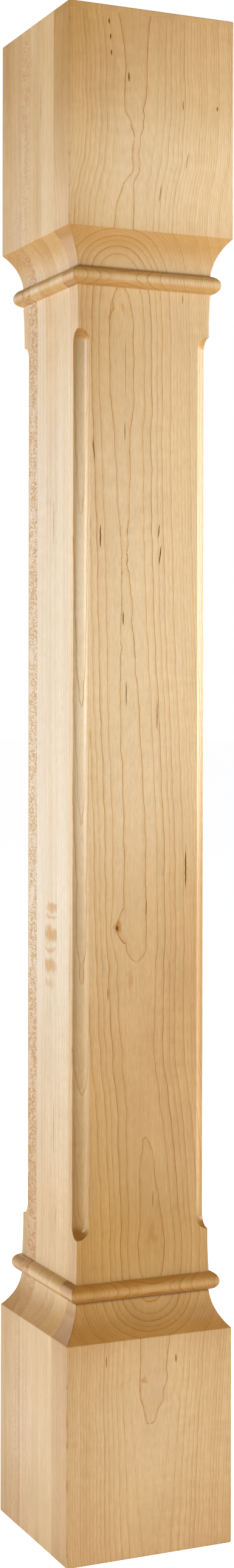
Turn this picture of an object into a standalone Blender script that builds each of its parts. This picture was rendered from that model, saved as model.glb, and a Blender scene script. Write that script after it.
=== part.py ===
"""Fluted cabinet post, glued up from six full-height maple boards and carved from the one blank.

The post stands on its underside with its origin at the bottom centre, its front face towards -Y.
A square section is swept from one half-width outline, the corners of the shaft are fluted with a
round-ended cutter, and the finished post is then divided at its glue lines into its boards.
"""
import math

import bmesh
import bpy
from mathutils import Matrix, Vector

# Driving dimensions, in metres
POST_HEIGHT = 1.0795
BLOCK_WIDTH = 0.127
BOTTOM_BLOCK_HEIGHT = 0.1525
TOP_BLOCK_HEIGHT = 0.1543
SHAFT_WIDTH = 0.1016
COVE_HEIGHT = 0.0258
COVE_RADIUS = 0.0413
BEAD_RADIUS = 0.0065
FLARE_DEPTH = 0.0007
FLARE_HEIGHT = 0.028
FLUTE_RADIUS = 0.0091
FLUTE_STOP = 0.0302
ARRIS_EASE = 0.0008
GLUE_LINE = 0.0003

# Thickness of each board. The front board takes what the others leave of the block's width.
SECOND_BOARD = 0.0222
THIRD_BOARD = 0.0222
FOURTH_BOARD = 0.0159
FIFTH_BOARD = 0.0159
BACK_BOARD = 0.0232
BOARDS_BEHIND = SECOND_BOARD + THIRD_BOARD + FOURTH_BOARD + FIFTH_BOARD + BACK_BOARD
BOARDS = (
    ("front_board", BLOCK_WIDTH - BOARDS_BEHIND, (0.69, 0.47, 0.26, 1.0)),
    ("second_board", SECOND_BOARD, (0.79, 0.63, 0.43, 1.0)),
    ("third_board", THIRD_BOARD, (0.76, 0.58, 0.38, 1.0)),
    ("fourth_board", FOURTH_BOARD, (0.74, 0.56, 0.36, 1.0)),
    ("fifth_board", FIFTH_BOARD, (0.70, 0.52, 0.33, 1.0)),
    ("back_board", BACK_BOARD, (0.72, 0.54, 0.34, 1.0)),
)
VARNISH_ROUGHNESS = 0.38

# How finely the round stretches are divided
COVE_STEPS = 14
BEAD_STEPS = 14
FLARE_STEPS = 4
FLUTE_SIDES = 32
FLUTE_END_RINGS = 16
ARRIS_SEGMENTS = 2

# A square section is a screw of four steps, whose profile runs along the section's diagonal.
SECTION_SIDES = 4
CORNER = math.sqrt(2)
CUT_MARGIN = 0.02
WELD = 0.00001

HALF_BLOCK = BLOCK_WIDTH / 2
HALF_SHAFT = SHAFT_WIDTH / 2
HALF_NECK = HALF_SHAFT + FLARE_DEPTH
# The bead is a half round centred on the shaft's face, and it meets the cove at the neck.
BEAD_RISE = math.sqrt(BEAD_RADIUS ** 2 - FLARE_DEPTH ** 2)
LOWER_BEAD_Z = BOTTOM_BLOCK_HEIGHT + COVE_HEIGHT + BEAD_RISE
UPPER_BEAD_Z = POST_HEIGHT - TOP_BLOCK_HEIGHT - COVE_HEIGHT - BEAD_RISE
SHAFT_BOTTOM = LOWER_BEAD_Z + BEAD_RISE
SHAFT_TOP = UPPER_BEAD_Z - BEAD_RISE


def clear_scene():
    """Removes the objects of the scene that the script starts in."""
    for old in list(bpy.data.objects):
        bpy.data.objects.remove(old, do_unlink=True)


def new_collection(name):
    """Makes a collection under the scene's own."""
    collection = bpy.data.collections.new(name)
    bpy.context.scene.collection.children.link(collection)
    return collection


def new_object(name, mesh, collection):
    """Links an object with this mesh into the collection."""
    made = bpy.data.objects.new(name, mesh)
    collection.objects.link(made)
    return made


def wood(name, colour):
    """Makes one board's plain varnished maple."""
    material = bpy.data.materials.new(name)
    material.use_nodes = True
    shader = material.node_tree.nodes["Principled BSDF"]
    shader.inputs["Base Color"].default_value = colour
    shader.inputs["Roughness"].default_value = VARNISH_ROUGHNESS
    shader.inputs["Metallic"].default_value = 0.0
    material.diffuse_color = colour
    return material


def cove_points(block_z, neck_z):
    """Points of the hollow from the block's arris to the neck, an arc of the cove's radius."""
    start = Vector((HALF_BLOCK, block_z))
    end = Vector((HALF_NECK, neck_z))
    chord = end - start
    across = Vector((abs(chord.y), -chord.x * math.copysign(1, chord.y))).normalized()
    centre = (start + end) / 2 + across * math.sqrt(COVE_RADIUS ** 2 - chord.length_squared / 4)
    first = math.atan2(start.y - centre.y, start.x - centre.x) % math.tau
    last = math.atan2(end.y - centre.y, end.x - centre.x) % math.tau
    turns = [first + (last - first) * step / COVE_STEPS for step in range(COVE_STEPS)]
    return [
        (centre.x + COVE_RADIUS * math.cos(turn), centre.y + COVE_RADIUS * math.sin(turn))
        for turn in turns
    ]


def bead_points(bead_z):
    """Points of the half-round bead from its lower foot to its upper foot."""
    foot = math.asin(BEAD_RISE / BEAD_RADIUS)
    turns = [foot * (2 * step / BEAD_STEPS - 1) for step in range(BEAD_STEPS + 1)]
    return [
        (HALF_SHAFT + BEAD_RADIUS * math.cos(turn), bead_z + BEAD_RADIUS * math.sin(turn))
        for turn in turns
    ]


def flare_points(bead_z, away):
    """Points of the shaft's slight flare, from just beyond a bead to the straight shaft."""
    points = []
    for step in range(1, FLARE_STEPS + 1):
        run = step / FLARE_STEPS
        points.append((HALF_SHAFT + FLARE_DEPTH * (1 - run) ** 2, bead_z + away * FLARE_HEIGHT * run))
    return points


def post_outline():
    """The post's half-width against its height, from the underside to the top."""
    lower_cove = cove_points(BOTTOM_BLOCK_HEIGHT, LOWER_BEAD_Z - BEAD_RISE)
    upper_cove = cove_points(POST_HEIGHT - TOP_BLOCK_HEIGHT, UPPER_BEAD_Z + BEAD_RISE)
    return (
        [(0, 0), (HALF_BLOCK, 0)]
        + lower_cove
        + bead_points(LOWER_BEAD_Z)
        + flare_points(SHAFT_BOTTOM, 1)
        + flare_points(SHAFT_TOP, -1)[::-1]
        + bead_points(UPPER_BEAD_Z)
        + upper_cove[::-1]
        + [(HALF_BLOCK, POST_HEIGHT), (0, POST_HEIGHT)]
    )


def swept_square(name, outline, collection):
    """Sweeps a half-width outline round a square, with mitred corners, as a plain mesh."""
    profile = bpy.data.meshes.new(name + "_profile")
    points = [(half * CORNER, 0, height) for half, height in reversed(outline)]
    profile.from_pydata(points, [(at, at + 1) for at in range(len(points) - 1)], [])
    turned = new_object(name + "_profile", profile, collection)
    turned.rotation_euler.z = math.pi / SECTION_SIDES
    screw = turned.modifiers.new("Square", "SCREW")
    screw.angle = math.tau
    screw.steps = SECTION_SIDES
    screw.render_steps = SECTION_SIDES
    screw.use_smooth_shade = False
    screw.use_merge_vertices = True
    screw.merge_threshold = WELD
    bpy.context.view_layer.update()
    evaluated = turned.evaluated_get(bpy.context.evaluated_depsgraph_get())
    mesh = bpy.data.meshes.new_from_object(evaluated)
    mesh.transform(turned.matrix_world)
    bpy.data.objects.remove(turned, do_unlink=True)
    return mesh


def is_arris(edge):
    """Says whether an edge is a corner of a block or of the shaft, or goes round an end."""
    low, high = sorted((vertex.co for vertex in edge.verts), key=lambda point: point.z)
    if high.z < WELD or low.z > POST_HEIGHT - WELD:
        return True
    on_corner = all(abs(abs(point.x) - abs(point.y)) < WELD for point in (low, high))
    in_lower_block = high.z < BOTTOM_BLOCK_HEIGHT + WELD
    in_upper_block = low.z > POST_HEIGHT - TOP_BLOCK_HEIGHT - WELD
    in_shaft = low.z > SHAFT_BOTTOM - WELD and high.z < SHAFT_TOP + WELD
    return on_corner and (in_lower_block or in_upper_block or in_shaft)


def ease_arrises(mesh):
    """Rounds the long corners and the ends' edges, and leaves the mouldings crisp."""
    work = bmesh.new()
    work.from_mesh(mesh)
    bmesh.ops.dissolve_limit(
        work, angle_limit=math.radians(0.01), verts=work.verts, edges=work.edges
    )
    bmesh.ops.bevel(
        work,
        geom=[edge for edge in work.edges if is_arris(edge)],
        offset=ARRIS_EASE,
        offset_type="OFFSET",
        segments=ARRIS_SEGMENTS,
        profile=0.5,
        affect="EDGES",
        clamp_overlap=True,
        material=-1,
    )
    bmesh.ops.recalc_face_normals(work, faces=work.faces)
    work.to_mesh(mesh)
    work.free()


def flute_cutter(name, x, y, collection):
    """Makes a round-ended bar along one corner of the shaft, which cuts a stopped flute."""
    low = SHAFT_BOTTOM + FLUTE_STOP + FLUTE_RADIUS
    high = SHAFT_TOP - FLUTE_STOP - FLUTE_RADIUS
    bar = bmesh.new()
    bmesh.ops.create_uvsphere(
        bar, u_segments=FLUTE_SIDES, v_segments=FLUTE_END_RINGS, radius=FLUTE_RADIUS
    )
    equator = [
        edge for edge in bar.edges if all(abs(vertex.co.z) < WELD for vertex in edge.verts)
    ]
    bmesh.ops.split_edges(bar, edges=equator)
    upper = {vertex for face in bar.faces if face.calc_center_median().z > 0 for vertex in face.verts}
    for vertex in bar.verts:
        vertex.co.z += high if vertex in upper else low
    rims = [edge for edge in bar.edges if edge.is_boundary]
    bmesh.ops.bridge_loops(bar, edges=rims)
    # Half a facet of turn keeps the facets' edges out of the shaft's faces.
    half_facet = Matrix.Rotation(math.pi / FLUTE_SIDES, 3, "Z")
    bmesh.ops.rotate(bar, verts=bar.verts, matrix=half_facet, cent=(0, 0, 0))
    bmesh.ops.recalc_face_normals(bar, faces=bar.faces)
    mesh = bpy.data.meshes.new(name)
    bar.to_mesh(mesh)
    bar.free()
    cutter = new_object(name, mesh, collection)
    cutter.location = (x, y, 0)
    hide_cutter(cutter)
    return cutter


def board_slab(name, front_y, back_y, collection):
    """Makes the slab of space that one board takes up, wider and taller than the post."""
    slab = bmesh.new()
    bmesh.ops.create_cube(slab, size=1)
    spread = BLOCK_WIDTH + 2 * CUT_MARGIN
    bmesh.ops.scale(slab, vec=(spread, back_y - front_y, POST_HEIGHT + 2 * CUT_MARGIN), verts=slab.verts)
    bmesh.ops.translate(slab, vec=(0, (front_y + back_y) / 2, POST_HEIGHT / 2), verts=slab.verts)
    mesh = bpy.data.meshes.new(name)
    slab.to_mesh(mesh)
    slab.free()
    cutter = new_object(name, mesh, collection)
    hide_cutter(cutter)
    return cutter


def board_spans():
    """Each board's name, front, back and colour, with half a glue line off each glued face."""
    spans = []
    glue_y = -HALF_BLOCK
    for name, thickness, colour in BOARDS:
        front_y = glue_y + GLUE_LINE / 2
        glue_y += thickness
        spans.append([name, front_y, glue_y - GLUE_LINE / 2, colour])
    # The outer faces are the blank's own, so the outer slabs run past them.
    spans[0][1] = -HALF_BLOCK - CUT_MARGIN
    spans[-1][2] = HALF_BLOCK + CUT_MARGIN
    return spans


def hide_cutter(cutter):
    """Keeps a cutter out of the render, as wire in the viewport."""
    cutter.hide_render = True
    cutter.display_type = "WIRE"


def add_boolean(target, cutter, operation):
    """Cuts or keeps what the cutter covers."""
    boolean = target.modifiers.new(cutter.name, "BOOLEAN")
    boolean.operation = operation
    boolean.object = cutter
    boolean.solver = "EXACT"


def build_post():
    """Builds the six boards of the post."""
    clear_scene()
    parts = new_collection("fluted_cabinet_post")
    cutters = new_collection("cutters")
    blank = swept_square("blank", post_outline(), cutters)
    ease_arrises(blank)
    flutes = [
        flute_cutter(f"flute_{side}{end}", x * HALF_SHAFT, y * HALF_SHAFT, cutters)
        for side, x in (("left", -1), ("right", 1))
        for end, y in (("_front", -1), ("_back", 1))
    ]
    for name, front_y, back_y, colour in board_spans():
        board = new_object(name, blank.copy(), parts)
        board.data.materials.append(wood(name + "_maple", colour))
        for flute in flutes:
            add_boolean(board, flute, "DIFFERENCE")
        slab = board_slab(name + "_slab", front_y, back_y, cutters)
        add_boolean(board, slab, "INTERSECT")


build_post()
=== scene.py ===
"""Fluted cabinet post of glued-up maple, dressed for a plain studio picture.

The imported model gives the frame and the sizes. Here the same post is cut again from one finely
divided blank, its edges are eased as by sanding, and it is divided at its glue lines into the six
boards, each of which stands for its own node. Each board gets its own cut of varnished maple,
whose growth rings are one solid pattern round the heart of the tree, so the faces, the coves, the
flutes and the ends all show the same wood.
"""
import logging
import math
from dataclasses import dataclass, field
from enum import Enum
from typing import Iterable, Mapping, Optional, Sequence, Union

import bmesh
import bpy
from mathutils import Matrix, Vector


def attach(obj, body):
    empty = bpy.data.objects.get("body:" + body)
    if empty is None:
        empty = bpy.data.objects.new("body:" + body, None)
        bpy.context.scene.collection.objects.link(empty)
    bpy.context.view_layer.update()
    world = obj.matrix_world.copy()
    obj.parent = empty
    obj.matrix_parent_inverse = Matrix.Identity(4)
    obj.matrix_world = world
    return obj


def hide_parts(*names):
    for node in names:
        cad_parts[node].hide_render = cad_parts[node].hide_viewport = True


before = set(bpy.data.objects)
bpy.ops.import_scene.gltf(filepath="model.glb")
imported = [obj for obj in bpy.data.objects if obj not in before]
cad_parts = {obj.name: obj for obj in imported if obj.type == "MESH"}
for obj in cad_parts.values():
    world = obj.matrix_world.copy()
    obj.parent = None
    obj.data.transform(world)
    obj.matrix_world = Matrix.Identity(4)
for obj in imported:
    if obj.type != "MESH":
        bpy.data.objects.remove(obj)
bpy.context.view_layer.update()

LOG = logging.getLogger("fluted_post")
BODY = "root"
CORNER = math.sqrt(2)
WELD = 0.00001
MM_PER_METRE = 1000.0

Feed = Union[bpy.types.NodeSocket, float, Sequence[float]]
Colour = tuple[float, float, float]
Size = tuple[float, float, float]
Span = tuple[float, float]


class SocketKind(Enum):
    """The kinds of value that an effect takes or gives."""

    VALUE = "NodeSocketFloat"
    VECTOR = "NodeSocketVector"
    COLOUR = "NodeSocketColor"


class Side(Enum):
    """On which side of an upward stroke of the outline an arc has its centre."""

    IN_THE_WOOD = -1
    OUTSIDE = 1


# The post's shape


@dataclass(frozen=True)
class PostSizes:
    """The post's lengths in metres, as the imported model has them."""

    height: float = 1.0795
    block_width: float = 0.127
    bottom_block: float = 0.1525
    top_block: float = 0.1543
    shaft_width: float = 0.1016
    cove_height: float = 0.0258
    cove_radius: float = 0.0413
    bead_radius: float = 0.0065
    flare_depth: float = 0.0007
    flare_height: float = 0.028
    flute_radius: float = 0.0091
    flute_stop: float = 0.0302

    @property
    def half_block(self) -> float:
        """Half the width of a block."""
        return self.block_width / 2

    @property
    def half_shaft(self) -> float:
        """Half the width of the shaft between its flares."""
        return self.shaft_width / 2

    @property
    def half_neck(self) -> float:
        """Half the width where the shaft or a cove meets a bead."""
        return self.half_shaft + self.flare_depth

    @property
    def bead_rise(self) -> float:
        """Half the height of a bead."""
        return math.sqrt(self.bead_radius**2 - self.flare_depth**2)

    @property
    def lower_foot(self) -> float:
        """Height where the lower cove meets its bead."""
        return self.bottom_block + self.cove_height

    @property
    def upper_foot(self) -> float:
        """Height where the upper cove meets its bead."""
        return self.height - self.top_block - self.cove_height

    @property
    def shaft_bottom(self) -> float:
        """Height where the shaft starts above the lower bead."""
        return self.lower_foot + 2 * self.bead_rise

    @property
    def shaft_top(self) -> float:
        """Height where the shaft ends below the upper bead."""
        return self.upper_foot - 2 * self.bead_rise

    @property
    def top_block_foot(self) -> float:
        """Height of the top block's lower arris."""
        return self.height - self.top_block


class OutlinePen:
    """Draws a half-width outline upwards as a chain of edges, in the XZ plane."""

    def __init__(self, start: Vector) -> None:
        """Starts the chain.

        Args:
            start: Half-width and height of its first point.
        """
        self.mesh = bmesh.new()
        self.tip = self.mesh.verts.new((start.x, 0, start.y))

    @property
    def at(self) -> Vector:
        """Half-width and height of the chain's last point."""
        return Vector((self.tip.co.x, self.tip.co.z))

    def line_to(self, end: Vector) -> None:
        """Draws a straight stretch to this half-width and height.

        Args:
            end: Half-width and height of the stretch's end.
        """
        made = bmesh.ops.extrude_vert_indiv(self.mesh, verts=[self.tip])
        self.tip = made["verts"][0]
        self.tip.co = (end.x, 0, end.y)

    def arc_to(self, end: Vector, radius: float, side: Side, steps: int) -> None:
        """Draws an arc of less than a half turn.

        Args:
            end: Half-width and height of its last point.
            radius: The arc's radius.
            side: Whether its centre lies outside or in the wood.
            steps: How many edges it gets.
        """
        start = self.at
        chord = end - start
        across = Vector((chord.y, -chord.x)).normalized() * side.value
        centre = (start + end) / 2 + across * math.sqrt(radius**2 - chord.length_squared / 4)
        before = start - centre
        after = end - centre
        turn = math.atan2(before.x * after.y - before.y * after.x, before.dot(after))
        spun = bmesh.ops.spin(
            self.mesh,
            geom=[self.tip],
            cent=(centre.x, 0, centre.y),
            axis=(0, -1, 0),
            angle=turn,
            steps=steps,
            use_merge=False,
        )
        self.tip = next(part for part in spun["geom_last"] if isinstance(part, bmesh.types.BMVert))
        self.tip.co = (end.x, 0, end.y)


@dataclass
class PostBlank:
    """The whole post as one carved blank, before it is divided at its glue lines."""

    sizes: PostSizes = PostSizes()
    arris_ease: float = 0.0008
    arris_segments: int = 3
    cove_lip_ease: float = 0.0004
    cove_lip_segments: int = 2
    flute_lip_ease: float = 0.00035
    flute_lip_segments: int = 2
    cove_steps: int = 36
    bead_steps: int = 36
    flare_steps: int = 8
    flute_sides: int = 72
    flute_end_rings: int = 36
    section_sides: int = 4
    flat_below: float = math.radians(0.01)
    lip_above: float = math.radians(60)
    lip_margin: float = 1.2

    def build(self) -> bpy.types.Mesh:
        """Makes the blank's mesh.

        Returns:
            The carved post as one closed mesh.
        """
        section = self.swept_section()
        self.ease_edges(section)
        blank = bpy.data.meshes.new("blank")
        section.to_mesh(blank)
        section.free()
        return self.cut_flutes(blank)

    def draw_outline(self) -> OutlinePen:
        """Draws the post's half-width from its underside to its top.

        Returns:
            The pen, with the whole chain drawn.
        """
        sizes = self.sizes
        pen = OutlinePen(Vector((0, 0)))
        pen.line_to(Vector((sizes.half_block, 0)))
        pen.line_to(Vector((sizes.half_block, sizes.bottom_block)))
        neck = Vector((sizes.half_neck, sizes.lower_foot))
        pen.arc_to(neck, sizes.cove_radius, Side.OUTSIDE, self.cove_steps)
        neck = Vector((sizes.half_neck, sizes.shaft_bottom))
        pen.arc_to(neck, sizes.bead_radius, Side.IN_THE_WOOD, self.bead_steps)
        self.draw_flare(pen, Vector((sizes.half_shaft, sizes.shaft_bottom + sizes.flare_height)))
        pen.line_to(Vector((sizes.half_shaft, sizes.shaft_top - sizes.flare_height)))
        self.draw_flare(pen, Vector((sizes.half_neck, sizes.shaft_top)))
        neck = Vector((sizes.half_neck, sizes.upper_foot))
        pen.arc_to(neck, sizes.bead_radius, Side.IN_THE_WOOD, self.bead_steps)
        arris = Vector((sizes.half_block, sizes.top_block_foot))
        pen.arc_to(arris, sizes.cove_radius, Side.OUTSIDE, self.cove_steps)
        pen.line_to(Vector((sizes.half_block, sizes.height)))
        pen.line_to(Vector((0, sizes.height)))
        return pen

    def draw_flare(self, pen: OutlinePen, end: Vector) -> None:
        """Draws the slight flare between a bead and the straight shaft, as one shallow arc.

        Args:
            pen: What draws the outline, at one end of the flare.
            end: Half-width and height of the flare's other end.
        """
        sizes = self.sizes
        radius = (sizes.flare_height**2 + sizes.flare_depth**2) / (2 * sizes.flare_depth)
        pen.arc_to(end, radius, Side.OUTSIDE, self.flare_steps)

    def swept_section(self) -> bmesh.types.BMesh:
        """Sweeps the outline round a square, with mitred corners.

        Returns:
            The square blank with its mouldings, without its flutes.
        """
        work = self.draw_outline().mesh
        bmesh.ops.scale(work, vec=(CORNER, 1, 1), verts=work.verts)
        bmesh.ops.spin(
            work,
            geom=list(work.verts) + list(work.edges),
            cent=(0, 0, 0),
            axis=(0, 0, 1),
            angle=math.tau,
            steps=self.section_sides,
            use_merge=True,
        )
        turn = Matrix.Rotation(math.pi / self.section_sides, 3, "Z")
        bmesh.ops.rotate(work, verts=work.verts, matrix=turn, cent=(0, 0, 0))
        bmesh.ops.remove_doubles(work, verts=work.verts, dist=WELD)
        bmesh.ops.dissolve_limit(
            work, angle_limit=self.flat_below, verts=work.verts, edges=work.edges
        )
        bmesh.ops.recalc_face_normals(work, faces=work.faces)
        return work

    def ease_edges(self, work: bmesh.types.BMesh) -> None:
        """Rounds the coves' lips, then the long corners and the ends' edges.

        Args:
            work: The square blank with its mouldings.
        """
        lips = [edge for edge in work.edges if self.is_cove_lip(edge)]
        self.bevel(work, lips, self.cove_lip_ease, self.cove_lip_segments)
        arrises = [edge for edge in work.edges if self.is_arris(edge)]
        self.bevel(work, arrises, self.arris_ease, self.arris_segments)
        bmesh.ops.recalc_face_normals(work, faces=work.faces)

    def bevel(
        self, work: bmesh.types.BMesh, edges: list[bmesh.types.BMEdge], width: float, segments: int
    ) -> None:
        """Rounds these edges by this width.

        Args:
            work: The mesh that the edges belong to.
            edges: The edges to round.
            width: How far beside each edge the rounding starts.
            segments: How many facets the rounding gets.
        """
        bmesh.ops.bevel(
            work,
            geom=edges,
            offset=width,
            offset_type="OFFSET",
            segments=segments,
            profile=0.5,
            affect="EDGES",
            clamp_overlap=False,
            material=-1,
        )

    def is_cove_lip(self, edge: bmesh.types.BMEdge) -> bool:
        """Says whether an edge is where a block's face meets its cove."""
        lips = (self.sizes.bottom_block, self.sizes.top_block_foot)
        return any(all(abs(vertex.co.z - lip) < WELD for vertex in edge.verts) for lip in lips)

    def is_arris(self, edge: bmesh.types.BMEdge) -> bool:
        """Says whether an edge runs up a corner or goes round an end.

        Args:
            edge: An edge of the blank.

        Returns:
            True for such an edge.
        """
        first, second = (vertex.co for vertex in edge.verts)
        for end in (0, self.sizes.height):
            if abs(first.z - end) < WELD and abs(second.z - end) < WELD:
                return True
        on_corner = all(abs(abs(point.x) - abs(point.y)) < WELD for point in (first, second))
        return on_corner and first.x * second.x > 0 and first.y * second.y > 0

    def flute_bar(self, x: float, y: float) -> bpy.types.Object:
        """Makes a round-ended bar along one corner of the shaft.

        Args:
            x: The corner's place across the front.
            y: The corner's depth.

        Returns:
            The bar that cuts that corner's flute.
        """
        sizes = self.sizes
        low = sizes.shaft_bottom + sizes.flute_stop + sizes.flute_radius
        high = sizes.shaft_top - sizes.flute_stop - sizes.flute_radius
        bar = bmesh.new()
        bmesh.ops.create_uvsphere(
            bar,
            u_segments=self.flute_sides,
            v_segments=self.flute_end_rings,
            radius=sizes.flute_radius,
        )
        equator = [
            edge for edge in bar.edges if all(abs(vertex.co.z) < WELD for vertex in edge.verts)
        ]
        bmesh.ops.split_edges(bar, edges=equator)
        upper = {
            vertex for face in bar.faces if face.calc_center_median().z > 0 for vertex in face.verts
        }
        lower = [vertex for vertex in bar.verts if vertex not in upper]
        bmesh.ops.translate(bar, verts=list(upper), vec=(0, 0, high))
        bmesh.ops.translate(bar, verts=lower, vec=(0, 0, low))
        bmesh.ops.bridge_loops(bar, edges=[edge for edge in bar.edges if edge.is_boundary])
        half_facet = Matrix.Rotation(math.pi / self.flute_sides, 3, "Z")
        bmesh.ops.rotate(bar, verts=bar.verts, matrix=half_facet, cent=(0, 0, 0))
        bmesh.ops.translate(bar, verts=bar.verts, vec=(x, y, 0))
        bmesh.ops.recalc_face_normals(bar, faces=bar.faces)
        mesh = bpy.data.meshes.new("flute_bar")
        bar.to_mesh(mesh)
        bar.free()
        return link_object("flute_bar", mesh)

    def cut_flutes(self, blank: bpy.types.Mesh) -> bpy.types.Mesh:
        """Cuts the four stopped flutes and eases their lips.

        Args:
            blank: The post without its flutes.

        Returns:
            The post with its flutes.
        """
        reach = self.sizes.half_shaft
        target = link_object("blank", blank)
        bars = [self.flute_bar(x, y) for x in (-reach, reach) for y in (-reach, reach)]
        for bar in bars:
            cut = target.modifiers.new("Flute", "BOOLEAN")
            cut.operation = "DIFFERENCE"
            cut.solver = "EXACT"
            cut.object = bar
        bpy.context.view_layer.update()
        evaluated = target.evaluated_get(bpy.context.evaluated_depsgraph_get())
        carved = bpy.data.meshes.new_from_object(evaluated)
        for spent in (target, *bars):
            bpy.data.objects.remove(spent, do_unlink=True)
        work = bmesh.new()
        work.from_mesh(carved)
        bmesh.ops.remove_doubles(work, verts=work.verts, dist=WELD)
        lips = [edge for edge in work.edges if self.is_flute_lip(edge)]
        self.bevel(work, lips, self.flute_lip_ease, self.flute_lip_segments)
        work.to_mesh(carved)
        work.free()
        return carved

    def is_flute_lip(self, edge: bmesh.types.BMEdge) -> bool:
        """Says whether an edge is where a flute meets a face of the shaft.

        Args:
            edge: An edge of the fluted post.

        Returns:
            True for such an edge.
        """
        sizes = self.sizes
        inner = sizes.half_shaft - self.lip_margin * sizes.flute_radius
        outer = sizes.half_shaft - 2 * self.arris_ease
        for vertex in edge.verts:
            across, deep = sorted((abs(vertex.co.x), abs(vertex.co.y)))
            in_reach = sizes.shaft_bottom < vertex.co.z < sizes.shaft_top
            if not (in_reach and inner < across < outer and abs(deep - sizes.half_shaft) < WELD):
                return False
        return edge.is_manifold and edge.calc_face_angle() > self.lip_above


def link_object(name: str, data: bpy.types.ID) -> bpy.types.Object:
    """Links a new object with this mesh, light or camera into the scene.

    Args:
        name: The object's name.
        data: Its mesh, light or camera.

    Returns:
        The new object.
    """
    made = bpy.data.objects.new(name, data)
    bpy.context.scene.collection.objects.link(made)
    return made


# The node trees


@dataclass(frozen=True)
class Port:
    """One named value that an effect takes or gives."""

    name: str
    kind: SocketKind = SocketKind.VALUE
    start: Union[float, tuple[float, ...], None] = None


class NodeDesk:
    """Adds nodes to one tree and joins them."""

    def __init__(self, tree: bpy.types.NodeTree) -> None:
        """Works in this tree."""
        self.tree = tree

    def add(self, kind: str, **settings: object) -> bpy.types.Node:
        """Adds a node of this type with these settings.

        Args:
            kind: The node's type, as Blender names it.
            **settings: Its settings by name.

        Returns:
            The new node.
        """
        node = self.tree.nodes.new(kind)
        for name, value in settings.items():
            setattr(node, name, value)
        return node

    def feed(self, socket: bpy.types.NodeSocket, value: Feed) -> None:
        """Joins a socket to another one, or sets its own value.

        Args:
            socket: The input to feed.
            value: The socket to join to it, or its value.
        """
        if isinstance(value, bpy.types.NodeSocket):
            self.tree.links.new(value, socket)
        else:
            socket.default_value = value

    def fill(self, node: bpy.types.Node, values: Iterable[Feed]) -> None:
        """Feeds a node's sockets in their order."""
        for socket, value in zip(node.inputs, values):
            self.feed(socket, value)

    def math(self, operation: str, *values: Feed, clamp: bool = False) -> bpy.types.NodeSocket:
        """Works out one number from others.

        Args:
            operation: What is worked out.
            *values: The numbers, in the operation's order.
            clamp: Whether the result stays between 0 and 1.

        Returns:
            The result.
        """
        node = self.add("ShaderNodeMath", operation=operation, use_clamp=clamp)
        self.fill(node, values)
        return node.outputs[0]

    def vector(self, operation: str, *values: Feed) -> bpy.types.NodeSocket:
        """Works out one vector from others, or its length.

        Args:
            operation: What is worked out.
            *values: The vectors, in the operation's order.

        Returns:
            The result.
        """
        node = self.add("ShaderNodeVectorMath", operation=operation)
        self.fill(node, values)
        return node.outputs["Value" if operation == "LENGTH" else "Vector"]

    def parts(self, vector: Feed) -> tuple[bpy.types.NodeSocket, ...]:
        """Gives the three parts of a vector.

        Args:
            vector: The vector to take apart.

        Returns:
            Its X, Y and Z.
        """
        node = self.add("ShaderNodeSeparateXYZ")
        self.fill(node, [vector])
        return tuple(node.outputs)

    def whole(self, x: Feed, y: Feed, z: Feed) -> bpy.types.NodeSocket:
        """Makes a vector of three numbers.

        Args:
            x: Its first part.
            y: Its second part.
            z: Its third part.

        Returns:
            The vector.
        """
        node = self.add("ShaderNodeCombineXYZ")
        self.fill(node, (x, y, z))
        return node.outputs[0]

    def rise(self, value: Feed, low: Feed, high: Feed) -> bpy.types.NodeSocket:
        """Goes smoothly from 0 at the first value to 1 at the second.

        Args:
            value: What is compared.
            low: The value that gives 0.
            high: The value that gives 1.

        Returns:
            The share, which stays between 0 and 1.
        """
        node = self.add("ShaderNodeMapRange", interpolation_type="SMOOTHSTEP")
        self.feed(node.inputs["Value"], value)
        self.feed(node.inputs["From Min"], low)
        self.feed(node.inputs["From Max"], high)
        return node.outputs["Result"]

    def spread(self, value: Feed, low: Feed, high: Feed) -> bpy.types.NodeSocket:
        """Stretches 0 to 1 over another range.

        Args:
            value: A share from 0 to 1.
            low: The result at 0.
            high: The result at 1.

        Returns:
            The value in the other range.
        """
        node = self.add("ShaderNodeMapRange", clamp=False)
        self.feed(node.inputs["Value"], value)
        self.feed(node.inputs["To Min"], low)
        self.feed(node.inputs["To Max"], high)
        return node.outputs["Result"]

    def swing(self, value: Feed, reach: Feed) -> bpy.types.NodeSocket:
        """Centres 0 to 1 on nought and stretches it to this reach."""
        return self.math("MULTIPLY", self.math("SUBTRACT", value, 0.5), reach)

    def noise(
        self, place: Feed, size: Sequence[float], detail: float = 1.0, roughness: float = 0.5
    ) -> bpy.types.NodeSocket:
        """Gives soft noise from 0 to 1.

        Args:
            place: Where, in the unit of the sizes.
            size: How long the noise's blotches are along each axis.
            detail: How many finer layers it has.
            roughness: How strong the finer layers are.

        Returns:
            The noise at that place.
        """
        node = self.add("ShaderNodeTexNoise", noise_dimensions="3D")
        scaled = self.vector("MULTIPLY", place, tuple(1 / length for length in size))
        self.feed(node.inputs["Vector"], scaled)
        node.inputs["Scale"].default_value = 1.0
        node.inputs["Detail"].default_value = detail
        node.inputs["Roughness"].default_value = roughness
        return node.outputs[0]

    def blend(self, factor: Feed, first: Feed, second: Feed, mode: str = "MIX") -> bpy.types.NodeSocket:
        """Mixes two colours.

        Args:
            factor: The share of the second colour.
            first: The colour underneath.
            second: The colour on top.
            mode: How the second colour lies on the first.

        Returns:
            The mixed colour.
        """
        node = self.add("ShaderNodeMix", data_type="RGBA", blend_type=mode, clamp_factor=True)
        self.feed(node.inputs["Factor"], factor)
        colours = [socket for socket in node.inputs if socket.type == "RGBA"]
        for socket, value in zip(colours, (first, second)):
            self.feed(socket, value)
        return next(socket for socket in node.outputs if socket.type == "RGBA")

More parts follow.
